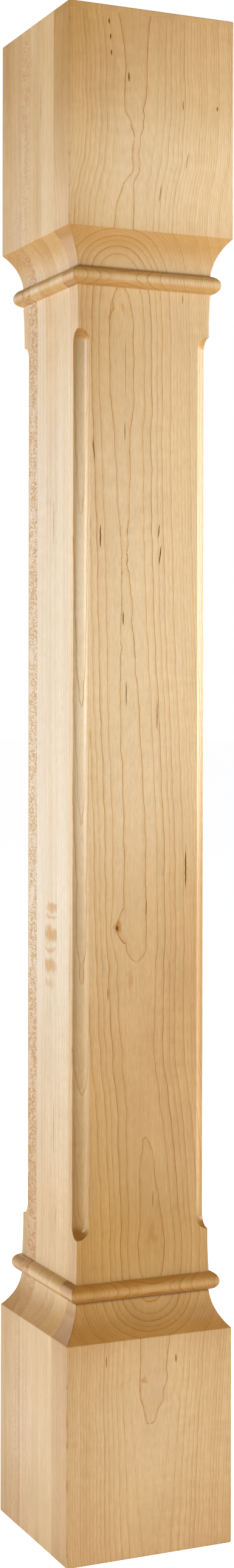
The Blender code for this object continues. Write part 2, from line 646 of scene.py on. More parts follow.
    def curve(self, value: Feed, points: Iterable[tuple[float, float]]) -> bpy.types.NodeSocket:
        """Follows a smooth curve through points between 0 and 1.

        Args:
            value: How far along the curve, from 0 to 1.
            points: The curve's points, each its place along and its height.

        Returns:
            The curve's height there.
        """
        node = self.add("ShaderNodeFloatCurve")
        line = node.mapping.curves[0]
        for at, (across, up) in enumerate(sorted(points)):
            if at < len(line.points):
                line.points[at].location = (across, up)
            else:
                line.points.new(across, up)
        node.mapping.update()
        self.feed(node.inputs["Value"], value)
        return node.outputs[0]


class Effect:
    """A look that several materials share, built once as a node group."""

    title: str = ""
    takes: tuple[Port, ...] = ()
    gives: tuple[Port, ...] = ()

    def __init__(self) -> None:
        """Builds the group with its named sockets."""
        self.tree = bpy.data.node_groups.new(self.title, "ShaderNodeTree")
        for way, ports in (("INPUT", self.takes), ("OUTPUT", self.gives)):
            for port in ports:
                socket = self.tree.interface.new_socket(
                    name=port.name, in_out=way, socket_type=port.kind.value
                )
                if port.start is not None:
                    socket.default_value = port.start
        desk = NodeDesk(self.tree)
        entry = desk.add("NodeGroupInput")
        leave = desk.add("NodeGroupOutput")
        for name, value in self.wire(desk, entry.outputs).items():
            desk.feed(leave.inputs[name], value)

    def wire(self, desk: NodeDesk, given: Mapping[str, bpy.types.NodeSocket]) -> dict[str, Feed]:
        """Joins the group's nodes.

        Args:
            desk: Where the nodes are added.
            given: The group's inputs by name.

        Returns:
            What each output gives, by its name.
        """
        raise NotImplementedError

    def place(self, desk: NodeDesk, values: Mapping[str, Feed]) -> Mapping[str, bpy.types.NodeSocket]:
        """Places the group in a tree.

        Args:
            desk: The tree to place it in.
            values: The value or socket of each input that isn't left as it is.

        Returns:
            The group's outputs by name.
        """
        node = desk.add("ShaderNodeGroup")
        node.node_tree = self.tree
        for name, value in values.items():
            desk.feed(node.inputs[name], value)
        return node.outputs


class GrowthRings(Effect):
    """Growth rings round a heart that drifts as it goes up the board, in millimetres.

    Latewood darkens each ring towards its edge, Line is the fine line there, and Tone is a chance
    of the ring's own.
    """

    title = "growth_rings"
    takes = (
        Port("Position", SocketKind.VECTOR),
        Port("Normal", SocketKind.VECTOR),
        Port("Seed", SocketKind.VECTOR),
        Port("Heart X"),
        Port("Heart Y"),
        Port("Emergence"),
        Port("Pace", start=243.0),
        Port("Shift"),
        Port("Wobble", start=0.12),
        Port("Sway", start=2.5),
    )
    gives = (Port("Latewood"), Port("Line"), Port("Tone"))
    bend_size: Size = (34, 34, 21)
    close_size: Size = (6, 6, 13)
    wide_size: Size = (26, 26, 70)
    oval: float = 1.06
    least_slope: float = 0.006
    late_reach: Span = (3.2, 0.2)
    late_luck: Span = (0.35, 1.0)
    line_reach: Span = (0.7, 0.3)
    line_luck: Span = (0.2, 1.0)
    crowding: Span = (0.38, 0.1)
    crowded_line: Span = (0.45, 1.0)
    wear: Span = (2.0, -0.15)

    def wire(self, desk: NodeDesk, given: Mapping[str, bpy.types.NodeSocket]) -> dict[str, Feed]:
        """Joins the nodes of the rings.

        Args:
            desk: Where the nodes are added.
            given: The group's inputs by name.

        Returns:
            What each output gives, by its name.
        """
        x, y, _ = desk.parts(given["Position"])
        seeded = desk.vector("ADD", given["Position"], given["Seed"])
        bend = desk.swing(desk.noise(seeded, self.bend_size), given["Sway"])
        across = desk.math("ADD", desk.math("SUBTRACT", x, given["Heart X"]), bend)
        deep = desk.math("SUBTRACT", y, given["Heart Y"])
        area = desk.math(
            "ADD",
            desk.math("MULTIPLY", desk.math("MULTIPLY", across, across), self.oval),
            desk.math("MULTIPLY", deep, deep),
        )
        count = desk.math("ADD", desk.math("DIVIDE", area, given["Pace"]), given["Shift"])
        close = desk.noise(seeded, self.close_size, 3.0, 0.6)
        wide = desk.noise(seeded, self.wide_size)
        shake = desk.math("ADD", desk.math("SUBTRACT", close, 0.5), desk.math("SUBTRACT", wide, 0.5))
        rings = desk.math("MULTIPLY_ADD", shake, given["Wobble"], count)
        rings = desk.math("SUBTRACT", rings, given["Emergence"])
        within = desk.math("FRACT", rings)
        which = desk.math("FLOOR", rings)
        chance = desk.add("ShaderNodeTexWhiteNoise", noise_dimensions="1D")
        desk.feed(chance.inputs["W"], desk.math("ADD", which, desk.parts(given["Seed"])[0]))
        luck = chance.outputs["Value"]
        # Rings per millimetre along the surface turn the widths of the lines into millimetres.
        slope = desk.vector("DIVIDE", desk.whole(across, deep, 0.0), desk.whole(*[given["Pace"]] * 3))
        slope = desk.vector("SUBTRACT", slope, desk.vector("PROJECT", slope, given["Normal"]))
        steep = desk.math("MULTIPLY_ADD", desk.vector("LENGTH", slope), 2.0, self.least_slope)
        left = desk.math("DIVIDE", desk.math("SUBTRACT", 1.0, within), steep)
        late = desk.rise(left, *self.late_reach)
        line = desk.rise(left, *self.line_reach)
        for share in (
            desk.spread(luck, *self.line_luck),
            desk.spread(desk.rise(steep, *self.crowding), *self.crowded_line),
            desk.math("MULTIPLY_ADD", close, *self.wear, clamp=True),
        ):
            line = desk.math("MULTIPLY", line, share)
        late = desk.math("MULTIPLY", late, desk.spread(luck, *self.late_luck))
        return {"Latewood": late, "Line": line, "Tone": luck}


class CloudFigure(Effect):
    """Soft blotches and faint cross ripples, as maple shows under varnish."""

    title = "cloud_figure"
    takes = (Port("Position", SocketKind.VECTOR), Port("Seed", SocketKind.VECTOR))
    gives = (Port("Cloud"), Port("Ripple"))
    cloud_size: Size = (30, 30, 75)
    ripple_size: Size = (24, 24, 5)
    patch_size: Size = (45, 45, 110)
    patch_edge: Span = (0.45, 0.65)
    contrast: float = 3.0

    def wire(self, desk: NodeDesk, given: Mapping[str, bpy.types.NodeSocket]) -> dict[str, Feed]:
        """Joins the nodes of the blotches and ripples.

        Args:
            desk: Where the nodes are added.
            given: The group's inputs by name.

        Returns:
            What each output gives, by its name.
        """
        seeded = desk.vector("ADD", given["Position"], given["Seed"])
        cloud = desk.noise(seeded, self.cloud_size, 2.0, 0.55)
        ripple = desk.swing(desk.noise(seeded, self.ripple_size), self.contrast)
        patch = desk.rise(desk.noise(seeded, self.patch_size), *self.patch_edge)
        return {
            "Cloud": desk.swing(cloud, self.contrast),
            "Ripple": desk.math("MULTIPLY", ripple, patch),
        }


class FineGrain(Effect):
    """Fine fibres along the post and the short dark cuts of its vessels."""

    title = "fine_grain"
    takes = (Port("Position", SocketKind.VECTOR), Port("Seed", SocketKind.VECTOR))
    gives = (Port("Fibre"), Port("Streak"), Port("Mottle"), Port("Pore"))
    fibre_size: Size = (0.6, 0.6, 6)
    streak_size: Size = (1.5, 1.5, 130)
    mottle_size: Size = (2.6, 2.6, 7)
    pore_size: Size = (0.5, 0.5, 3.6)
    pore_edge: Span = (0.74, 0.84)
    contrast: float = 2.0

    def wire(self, desk: NodeDesk, given: Mapping[str, bpy.types.NodeSocket]) -> dict[str, Feed]:
        """Joins the nodes of the fibres and vessels.

        Args:
            desk: Where the nodes are added.
            given: The group's inputs by name.

        Returns:
            What each output gives, by its name.
        """
        seeded = desk.vector("ADD", given["Position"], given["Seed"])
        fibre = desk.noise(seeded, self.fibre_size, 2.0, 0.6)
        streak = desk.noise(seeded, self.streak_size, 3.0, 0.6)
        mottle = desk.noise(seeded, self.mottle_size)
        return {
            "Fibre": desk.swing(fibre, self.contrast),
            "Streak": desk.swing(streak, self.contrast),
            "Mottle": desk.swing(mottle, self.contrast),
            "Pore": desk.rise(desk.noise(seeded, self.pore_size, 0.0), *self.pore_edge),
        }


class RayFleck(Effect):
    """The curled dashes of the wood's rays, drawn out away from the heart, in millimetres."""

    title = "ray_fleck"
    takes = (Port("Position", SocketKind.VECTOR), Port("Heart X"), Port("Heart Y"))
    gives = (Port("Fleck"),)
    ray_size: Size = (4.5, 3.0, 2.0)
    curl_edge: Span = (0.095, 0.035)
    patch_size: Size = (9, 9, 12)
    patch_edge: Span = (0.25, 0.5)
    far_from_heart: float = 60.0

    def wire(self, desk: NodeDesk, given: Mapping[str, bpy.types.NodeSocket]) -> dict[str, Feed]:
        """Joins the nodes of the rays.

        Args:
            desk: Where the nodes are added.
            given: The group's inputs by name.

        Returns:
            What each output gives, by its name.
        """
        x, y, z = desk.parts(given["Position"])
        across = desk.math("SUBTRACT", x, given["Heart X"])
        deep = desk.math("SUBTRACT", y, given["Heart Y"])
        out = desk.vector("LENGTH", desk.whole(across, deep, 0.0))
        turned = desk.math("MULTIPLY", desk.math("ARCTAN2", across, deep), self.far_from_heart)
        curl = desk.noise(desk.whole(out, turned, z), self.ray_size, 1.5, 0.6)
        curl = desk.math("ABSOLUTE", desk.math("SUBTRACT", curl, 0.5))
        patch = desk.rise(desk.noise(given["Position"], self.patch_size), *self.patch_edge)
        return {"Fleck": desk.math("MULTIPLY", desk.rise(curl, *self.curl_edge), patch)}


class GumMark(Effect):
    """One gum streak, pip or stain in the wood, as a soft leaning ellipsoid in millimetres."""

    title = "gum_mark"
    takes = (
        Port("Position", SocketKind.VECTOR),
        Port("Centre", SocketKind.VECTOR),
        Port("Radii", SocketKind.VECTOR, (1.0, 1.0, 1.0)),
        Port("Lean"),
        Port("Strength", start=1.0),
    )
    gives = (Port("Core"), Port("Halo"), Port("Peak"))
    core_edge: Span = (1.1, 0.7)
    halo_edge: Span = (1.7, 0.5)

    def wire(self, desk: NodeDesk, given: Mapping[str, bpy.types.NodeSocket]) -> dict[str, Feed]:
        """Joins the nodes of the mark.

        Args:
            desk: Where the nodes are added.
            given: The group's inputs by name.

        Returns:
            What each output gives, by its name.
        """
        x, y, z = desk.parts(desk.vector("SUBTRACT", given["Position"], given["Centre"]))
        slid = desk.math("MULTIPLY", z, given["Lean"])
        upright = desk.whole(desk.math("SUBTRACT", x, slid), desk.math("SUBTRACT", y, slid), z)
        far = desk.vector("LENGTH", desk.vector("DIVIDE", upright, given["Radii"]))
        masks = {
            "Core": desk.rise(far, *self.core_edge),
            "Halo": desk.rise(far, *self.halo_edge),
            "Peak": desk.math("SUBTRACT", 1.0, far, clamp=True),
        }
        return {name: desk.math("MULTIPLY", mask, given["Strength"]) for name, mask in masks.items()}


class EndGrain(Effect):
    """Where cut fibres drink the varnish: a surface facing up or down goes darker and duller."""

    title = "end_grain"
    takes = (Port("Normal", SocketKind.VECTOR),)
    gives = (Port("Mask"), Port("Sawn"))
    carved_edge: Span = (0.08, 0.55)
    sawn_edge: Span = (0.9, 0.99)
    sawn_relief: float = 0.5

    def wire(self, desk: NodeDesk, given: Mapping[str, bpy.types.NodeSocket]) -> dict[str, Feed]:
        """Joins the nodes of the masks.

        Args:
            desk: Where the nodes are added.
            given: The group's inputs by name.

        Returns:
            What each output gives, by its name.
        """
        up = desk.math("ABSOLUTE", desk.parts(given["Normal"])[2])
        carved = desk.rise(up, *self.carved_edge)
        sawn = desk.rise(up, *self.sawn_edge)
        return {"Mask": desk.math("MULTIPLY_ADD", sawn, -self.sawn_relief, carved), "Sawn": sawn}


class CreaseShade(Effect):
    """Painted shade that darkens the colour in the creases between the coves and the beads."""

    title = "crease_shade"
    takes = (
        Port("Position", SocketKind.VECTOR),
        Port("Lower"),
        Port("Upper"),
        Port("Reach", start=1.8),
    )
    gives = (Port("Mask"),)
    darkest_within: float = 0.1

    def wire(self, desk: NodeDesk, given: Mapping[str, bpy.types.NodeSocket]) -> dict[str, Feed]:
        """Joins the nodes of the mask.

        Args:
            desk: Where the nodes are added.
            given: The group's inputs by name.

        Returns:
            What each output gives, by its name.
        """
        z = desk.parts(given["Position"])[2]
        lower, upper = (
            desk.math("ABSOLUTE", desk.math("SUBTRACT", z, given[name])) for name in ("Lower", "Upper")
        )
        near = desk.math("MINIMUM", lower, upper)
        return {"Mask": desk.rise(near, given["Reach"], self.darkest_within)}


class MapleTint(Effect):
    """Varnished maple's colour from the masks of its grain, with painted sheen and painted shade in the
    creases mixed in.
    """

    title = "maple_tint"
    takes = tuple(
        Port(name, SocketKind.COLOUR)
        for name in (
            "Pale", "Tan", "Sheen And Pale Tint", "Line Tint", "Late Tint", "Gum Colour", "Stain Tint",
            "End Tint", "Crease Shade Tint",
        )
    ) + tuple(
        Port(name)
        for name in (
            "Sheen And Paleness", "Latewood", "Line", "Tone", "Cloud", "Ripple", "Mottle", "Fibre", "Pore",
            "Gum", "Stain", "End", "Crease",
        )
    )
    gives = (Port("Colour", SocketKind.COLOUR),)
    cloud_share: float = 0.6
    tone_share: float = 0.3
    grain_shares: tuple[tuple[str, float], ...] = (
        ("Ripple", 0.05),
        ("Mottle", 0.06),
        ("Fibre", 0.17),
        ("Pore", -0.10),
    )
    warmth: Colour = (0.75, 1.05, 1.6)

    def wire(self, desk: NodeDesk, given: Mapping[str, bpy.types.NodeSocket]) -> dict[str, Feed]:
        """Joins the nodes of the tint.

        Args:
            desk: Where the nodes are added.
            given: The group's inputs by name.

        Returns:
            What each output gives, by its name.
        """
        body = desk.math("MULTIPLY_ADD", given["Cloud"], self.cloud_share, 0.5)
        tone = desk.math("SUBTRACT", given["Tone"], 0.5)
        body = desk.math("MULTIPLY_ADD", tone, self.tone_share, body, clamp=True)
        colour = desk.blend(body, given["Pale"], given["Tan"])
        # Painted sheen, together with the wood's own paleness: the colour is mixed towards a pale tint.
        colour = desk.blend(given["Sheen And Paleness"], colour, given["Sheen And Pale Tint"])
        colour = desk.blend(given["Latewood"], colour, given["Late Tint"], "MULTIPLY")
        colour = desk.blend(given["Line"], colour, given["Line Tint"], "MULTIPLY")
        shade: Feed = 0.0
        for name, share in self.grain_shares:
            shade = desk.math("MULTIPLY_ADD", given[name], share, shade)
        light = desk.whole(*(desk.math("MULTIPLY_ADD", shade, reach, 1.0) for reach in self.warmth))
        colour = desk.blend(1.0, colour, light, "MULTIPLY")
        colour = desk.blend(given["Stain"], colour, given["Stain Tint"], "MULTIPLY")
        colour = desk.blend(given["Gum"], colour, given["Gum Colour"])
        # Painted shade: the colour is darkened in the creases at the bead feet.
        colour = desk.blend(given["Crease"], colour, given["Crease Shade Tint"], "MULTIPLY")
        return {"Colour": desk.blend(given["End"], colour, given["End Tint"], "MULTIPLY")}


@dataclass
class GrainShop:
    """The shared effects, each built once."""

    rings: GrowthRings = field(default_factory=GrowthRings)
    figure: CloudFigure = field(default_factory=CloudFigure)
    grain: FineGrain = field(default_factory=FineGrain)
    rays: RayFleck = field(default_factory=RayFleck)
    gum: GumMark = field(default_factory=GumMark)
    end: EndGrain = field(default_factory=EndGrain)
    crease: CreaseShade = field(default_factory=CreaseShade)
    tint: MapleTint = field(default_factory=MapleTint)


# The finishes


@dataclass(frozen=True)
class HeightLine:
    """A value that changes with height: (height in mm, value) points, joined smoothly."""

    points: tuple[tuple[float, float], ...]
    low: float = 0.0
    high: float = 1.0

    def follow(self, desk: NodeDesk, height: bpy.types.NodeSocket) -> bpy.types.NodeSocket:
        """Gives the value at a height.

        Args:
            desk: The tree to work in.
            height: Height as a share of the post's.

        Returns:
            The value there.
        """
        tall = PostSizes().height * MM_PER_METRE
        reach = self.high - self.low
        points = [(up / tall, (value - self.low) / reach) for up, value in self.points]
        return desk.spread(desk.curve(height, points), self.low, self.high)


def steady(value: float) -> HeightLine:
    """Gives a value that is the same at every height."""
    return HeightLine(((0.0, value), (1000.0, value)), value - 1.0, value + 1.0)


@dataclass(frozen=True)
class Mark:
    """Where a gum streak, pip or stain lies in a board, in millimetres."""

    at: tuple[float, float, float]
    radii: tuple[float, float, float]
    strength: float
    lean: float = 0.0

    def place(
        self, desk: NodeDesk, shop: GrainShop, place: bpy.types.NodeSocket
    ) -> Mapping[str, bpy.types.NodeSocket]:
        """Places the mark's effect and gives its masks.

        Args:
            desk: The tree to work in.
            shop: The shared effects.
            place: The coloured point's place.

        Returns:
            The mark's masks by name.
        """
        return shop.gum.place(desk, {
            "Position": place, "Centre": self.at, "Radii": self.radii, "Lean": self.lean,
            "Strength": self.strength,
        })


@dataclass(frozen=True)
class Spot:
    """The point of a board that is coloured, in millimetres, and where it faces."""

    place: bpy.types.NodeSocket
    normal: bpy.types.NodeSocket
    height: bpy.types.NodeSocket


@dataclass(frozen=True)
class Wander:
    """How far, and over what length, a mark's edge strays, in millimetres."""

    size: float
    reach: float

    def stray(self, desk: NodeDesk, place: bpy.types.NodeSocket) -> bpy.types.NodeSocket:
        """Shifts places about a little, so that what is drawn there gets ragged edges.

        Args:
            desk: The tree to work in.
            place: The coloured point's place.

        Returns:
            The shifted place.
        """
        shift = desk.add("ShaderNodeTexNoise", noise_dimensions="3D")
        desk.feed(shift.inputs["Vector"], place)
        shift.inputs["Scale"].default_value = 1 / self.size
        shift.inputs["Detail"].default_value = 1.0
        centred = desk.vector("SUBTRACT", shift.outputs["Color"], (0.5, 0.5, 0.5))
        return desk.vector("ADD", place, desk.vector("MULTIPLY", centred, (self.reach,) * 3))


@dataclass(frozen=True)
class MapleCut:
    """The look of one board: its colours and where its heart, rings and marks lie."""

    slot: str
    pale: Colour
    tan: Colour
    sheen_and_paleness: HeightLine
    seed: tuple[float, float, float]
    heart_x: HeightLine
    heart_y: float
    emergence: HeightLine
    # The pale tint of the painted sheen and of the wood's own paler stretches.
    sheen_and_pale_tint: Colour = (0.82, 0.79, 0.72)
    pace: float = 243.0
    shift: float = 0.0
    wobble: float = 0.15
    sway: float = 2.5
    streak: float = 0.35
    line_strength: float = 0.8
    late_strength: float = 1.0
    line: Colour = (0.62, 0.41, 0.20)
    late: Colour = (0.94, 0.86, 0.70)
    gum: Colour = (0.14, 0.058, 0.0)
    stain: Colour = (0.82, 0.60, 0.33)
    end: Colour = (0.78, 0.635, 0.36)
    # The tint of the painted shade in the creases.
    crease: Colour = (0.54, 0.46, 0.34)
    fleck: Optional[HeightLine] = None
    marks: tuple[Mark, ...] = ()
    stains: tuple[Mark, ...] = ()
    knots: tuple[Mark, ...] = ()
    swirls: tuple[Mark, ...] = ()
    mark_halo: float = 0.5
    mark_edge: Wander = Wander(3.0, 0.7)
    stain_edge: Wander = Wander(7.0, 9.0)
    # Paler towards the right, by the given share per millimetre at each height.
    rightward_paleness: Optional[HeightLine] = None
    # Painted sheen on the faces that look sideways.
    side_sheen: Optional[HeightLine] = None
    # Painted sheen in the hollows of the flutes.
    flute_sheen: Optional[HeightLine] = None
    sideways: Span = (0.7, 0.98)
    hollowed: Span = (0.15, 0.42)
    crease_shade_reach: float = 0.0
    roughness: float = 0.45
    fibre_roughness: float = 0.06
    sawn_roughness: float = 0.3
    end_roughness: float = 0.1
    sheen_level: float = 0.25
    varnish: float = 0.12
    varnish_roughness: float = 0.25
    pore_depth: float = 0.6
    line_depth: float = 0.4
    relief_strength: float = 0.25
    relief_depth: float = 0.00005

    def material(self, shop: GrainShop) -> bpy.types.Material:
        """Makes this board's material.

        Args:
            shop: The shared effects.

        Returns:
            The material, on Object coordinates.
        """
        made = bpy.data.materials.new(self.slot)
        made.use_nodes = True
        desk = NodeDesk(made.node_tree)
        spot = self.find_spot(desk)
        heart_x = self.heart_x.follow(desk, spot.height)
        rings = self.grow_rings(desk, shop, spot, heart_x)
        grain = shop.grain.place(desk, {"Position": spot.place, "Seed": self.seed})
        figure = shop.figure.place(desk, {"Position": spot.place, "Seed": self.seed})
        end = shop.end.place(desk, {"Normal": spot.normal})
        gum, stain = self.lay_marks(desk, shop, spot, heart_x)
        tints = {
            "Pale": self.pale, "Tan": self.tan, "Sheen And Pale Tint": self.sheen_and_pale_tint, "Line Tint": self.line,
            "Late Tint": self.late, "Gum Colour": self.gum, "Stain Tint": self.stain,
            "End Tint": self.end, "Crease Shade Tint": self.crease,
        }
        # The masks include painted sheen (with real paleness and streaks) and painted shade in the
        # creases.
        masks = {
            "Sheen And Paleness": self.sheen_and_paleness_at(desk, spot, grain["Streak"]),
            "Latewood": desk.math("MULTIPLY", rings["Latewood"], self.late_strength),
            "Line": desk.math("MULTIPLY", rings["Line"], self.line_strength),
            "Tone": rings["Tone"], "Cloud": figure["Cloud"], "Ripple": figure["Ripple"],
            "Mottle": grain["Mottle"], "Fibre": grain["Fibre"], "Pore": grain["Pore"],
            "Gum": gum, "Stain": stain, "End": end["Mask"],
            "Crease": self.crease_shade_at(desk, shop, spot),
        }
        opaque = {name: (*tint, 1.0) for name, tint in tints.items()}
        colour = shop.tint.place(desk, {**opaque, **masks})["Colour"]
        shader = made.node_tree.nodes["Principled BSDF"]
        desk.feed(shader.inputs["Base Color"], colour)
        self.set_gloss(desk, shader, grain, end)
        self.set_relief(desk, shader, grain, rings)
        return made

    def find_spot(self, desk: NodeDesk) -> Spot:
        """Reads the coloured point's place, facing and share of the height.

        Args:
            desk: The tree to work in.

        Returns:
            The coloured point.
        """
        coordinates = desk.add("ShaderNodeTexCoord")
        to_mm = desk.add("ShaderNodeMapping")
        to_mm.inputs["Scale"].default_value = (MM_PER_METRE,) * 3
        desk.feed(to_mm.inputs["Vector"], coordinates.outputs["Object"])
        place = to_mm.outputs["Vector"]
        height = desk.math("DIVIDE", desk.parts(place)[2], PostSizes().height * MM_PER_METRE)
        return Spot(place, coordinates.outputs["Normal"], height)

    def grow_rings(
        self, desk: NodeDesk, shop: GrainShop, spot: Spot, heart_x: bpy.types.NodeSocket
    ) -> Mapping[str, bpy.types.NodeSocket]:
        """Grows the rings, which knots lift and swirls bend.

        Args:
            desk: The tree to work in.
            shop: The shared effects.
            spot: The coloured point.
            heart_x: Where the heart lies across the front at that height.

        Returns:
            The masks of the rings.
        """
        emergence = self.emergence.follow(desk, spot.height)
        for knot in self.knots:
            emergence = desk.math("ADD", emergence, knot.place(desk, shop, spot.place)["Peak"])
        sway: Feed = self.sway
        for swirl in self.swirls:
            sway = desk.math("ADD", sway, swirl.place(desk, shop, spot.place)["Halo"])
        return shop.rings.place(desk, {
            "Position": spot.place, "Normal": spot.normal, "Seed": self.seed,
            "Heart X": heart_x, "Heart Y": self.heart_y, "Emergence": emergence,
            "Pace": self.pace, "Shift": self.shift, "Wobble": self.wobble, "Sway": sway,
        })

    def sheen_and_paleness_at(
        self, desk: NodeDesk, spot: Spot, streak: bpy.types.NodeSocket
    ) -> bpy.types.NodeSocket:
        """Says how much painted sheen and the wood's own paleness lighten the wood.

        Args:
            desk: The tree to work in.
            spot: The coloured point.
            streak: The long pale and dark streaks there.

        Returns:
            The share of the pale tint of painted sheen and paleness.
        """
        sheen_and_paleness = self.sheen_and_paleness.follow(desk, spot.height)
        across, deep, _ = desk.parts(spot.normal)
        # Paler towards the right across the front.
        if self.rightward_paleness:
            lean = self.rightward_paleness.follow(desk, spot.height)
            sheen_and_paleness = desk.math("MULTIPLY_ADD", desk.parts(spot.place)[0], lean, sheen_and_paleness)
        # Painted sheen: faces that look sideways are made paler.
        if self.side_sheen:
            side = desk.rise(desk.math("ABSOLUTE", across), *self.sideways)
            more = self.side_sheen.follow(desk, spot.height)
            sheen_and_paleness = desk.math("MULTIPLY_ADD", side, more, sheen_and_paleness)
        # Painted sheen in the flutes, where the surface faces half front and half side.
        if self.flute_sheen:
            slanted = desk.math("ABSOLUTE", desk.math("MULTIPLY", across, deep))
            more = self.flute_sheen.follow(desk, spot.height)
            sheen_and_paleness = desk.math("MULTIPLY_ADD", desk.rise(slanted, *self.hollowed), more, sheen_and_paleness)
        return desk.math("MULTIPLY_ADD", streak, self.streak, sheen_and_paleness)

    def crease_shade_at(self, desk: NodeDesk, shop: GrainShop, spot: Spot) -> Feed:
        """Gives the mask of the painted shade in the creases, or nought on a board that has none.

        Args:
            desk: The tree to work in.
            shop: The shared effects.
            spot: The coloured point.

        Returns:
            The mask.
        """
        if not self.crease_shade_reach:
            return 0.0
        return shop.crease.place(desk, {
            "Position": spot.place, "Lower": PostSizes().lower_foot * MM_PER_METRE,
            "Upper": PostSizes().upper_foot * MM_PER_METRE, "Reach": self.crease_shade_reach,
        })["Mask"]

    def lay_marks(
        self, desk: NodeDesk, shop: GrainShop, spot: Spot, heart_x: bpy.types.NodeSocket
    ) -> tuple[Feed, Feed]:
        """Lays the gum marks, the stains and the rays.

        Args:
            desk: The tree to work in.
            shop: The shared effects.
            spot: The coloured point.
            heart_x: Where the heart lies across the front at that height.

        Returns:
            The masks of the gum and of the stains.
        """
        gum: Feed = 0.0
        stain: Feed = 0.0
        ragged = self.mark_edge.stray(desk, spot.place)
        for mark in self.marks:
            placed = mark.place(desk, shop, ragged)
            gum = desk.math("MAXIMUM", gum, placed["Core"])
            halo = desk.math("MULTIPLY", placed["Halo"], self.mark_halo)
            stain = desk.math("MAXIMUM", stain, halo)
        smudged = self.stain_edge.stray(desk, spot.place)
        for mark in self.stains:
            stain = desk.math("MAXIMUM", stain, mark.place(desk, shop, smudged)["Halo"])
        if self.fleck:
            rays = shop.rays.place(desk, {
                "Position": spot.place, "Heart X": heart_x, "Heart Y": self.heart_y,
            })
            fleck = desk.math("MULTIPLY", rays["Fleck"], self.fleck.follow(desk, spot.height))
            stain = desk.math("MAXIMUM", stain, fleck)
        return gum, stain

    def set_gloss(
        self,
        desk: NodeDesk,
        shader: bpy.types.Node,
        grain: Mapping[str, bpy.types.NodeSocket],
        end: Mapping[str, bpy.types.NodeSocket],
    ) -> None:
        """Sets the wood's sheen and the thin varnish over it, which the sawn ends lack.

        Args:
            desk: The tree to work in.
            shader: The board's Principled shader.
            grain: The masks of the fibres and vessels.
            end: The masks of the end grain.
        """
        rough = desk.math("MULTIPLY_ADD", grain["Fibre"], self.fibre_roughness, self.roughness)
        rough = desk.math("MULTIPLY_ADD", end["Sawn"], self.sawn_roughness, rough)
        rough = desk.math("MULTIPLY_ADD", end["Mask"], self.end_roughness, rough)
        desk.feed(shader.inputs["Roughness"], rough)
        shader.inputs["Specular IOR Level"].default_value = self.sheen_level
        coat = desk.math("MULTIPLY_ADD", end["Sawn"], -self.varnish, self.varnish)
        desk.feed(shader.inputs["Coat Weight"], coat)
        shader.inputs["Coat Roughness"].default_value = self.varnish_roughness

    def set_relief(
        self,
        desk: NodeDesk,
        shader: bpy.types.Node,
        grain: Mapping[str, bpy.types.NodeSocket],
        rings: Mapping[str, bpy.types.NodeSocket],
    ) -> None:
        """Gives the fibres, pores and ring lines a faint relief.

        Args:
            desk: The tree to work in.
            shader: The board's Principled shader.
            grain: The masks of the fibres and vessels.
            rings: The masks of the rings.
        """
        relief = desk.math("MULTIPLY_ADD", grain["Pore"], -self.pore_depth, grain["Fibre"])
        relief = desk.math("MULTIPLY_ADD", rings["Line"], -self.line_depth, relief)
        bump = desk.add("ShaderNodeBump")
        bump.inputs["Strength"].default_value = self.relief_strength
        bump.inputs["Distance"].default_value = self.relief_depth
        desk.feed(bump.inputs["Height"], relief)
        desk.feed(shader.inputs["Normal"], bump.outputs["Normal"])


@dataclass(frozen=True)
class StudioPaper:
    """The pale paper of the floor."""

    shade: float = 0.92
    tooth: float = 0.02
    tooth_size: float = 0.025
    roughness: float = 0.9
    glow: float = 0.4
    glow_in_view: float = 0.8

    def material(self) -> bpy.types.Material:
        """Makes the paper's material, with a faint tooth.

        Returns:
            The floor's material.
        """
        made = bpy.data.materials.new("studio_paper")
        made.use_nodes = True
        desk = NodeDesk(made.node_tree)
        shader = made.node_tree.nodes["Principled BSDF"]
        coordinates = desk.add("ShaderNodeTexCoord")
        tooth = desk.noise(coordinates.outputs["Object"], (self.tooth_size,) * 3)
        light = desk.math("MULTIPLY_ADD", tooth, self.tooth, self.shade)
        desk.feed(shader.inputs["Base Color"], desk.whole(light, light, light))
        shader.inputs["Roughness"].default_value = self.roughness
        shader.inputs["Emission Color"].default_value = (1, 1, 1, 1)
        seen = desk.add("ShaderNodeLightPath").outputs["Is Camera Ray"]
        strength = desk.math("MULTIPLY_ADD", seen, self.glow_in_view - self.glow, self.glow)
        desk.feed(shader.inputs["Emission Strength"], strength)
        return made


# The boards


